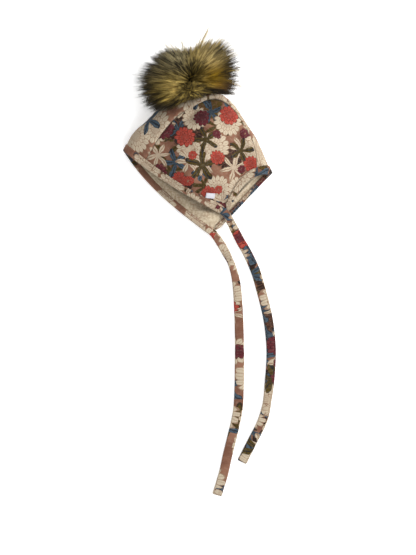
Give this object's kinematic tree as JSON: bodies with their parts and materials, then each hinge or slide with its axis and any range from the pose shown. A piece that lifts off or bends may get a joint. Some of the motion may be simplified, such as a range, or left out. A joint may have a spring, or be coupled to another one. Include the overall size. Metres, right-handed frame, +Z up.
{
  "type": "baby bonnet with a fur pompom and ties",
  "caption": "Fleece-lined printed jersey bonnet with a fur pompom, bound edges and long flat ties, lying on its side.",
  "frame": {"origin": "on the surface that it lies on, under the middle of the bonnet with its pompom, ties left out", "axes": "+Z up from the surface, +Y from the ties towards the crown and the pompom, +X from the face edge towards the nape"},
  "size_m": [0.183, 0.5598, 0.086],
  "materials": {
    "print_upper": "floral printed jersey",
    "print_lower": "floral printed jersey",
    "print_crown": "floral printed jersey",
    "fleece": "brushed cream fleece",
    "print_face_binding": "floral printed jersey",
    "print_neck_binding": "floral printed jersey",
    "print_tie": "floral printed jersey",
    "label_tape": "smooth woven tape",
    "fur": "long shaggy pile, dark at the tips"
  },
  "bodies": {
    "root": {"side_panel_upper": "print_upper", "side_panel_lower": "print_lower", "crown_panel": "print_crown", "lining": "fleece", "face_binding": "print_face_binding", "neck_binding": "print_neck_binding", "tie_upper": "print_tie", "tie_lower": "print_tie", "label": "label_tape", "pompom": "fur"}
  },
  "joints": []
}
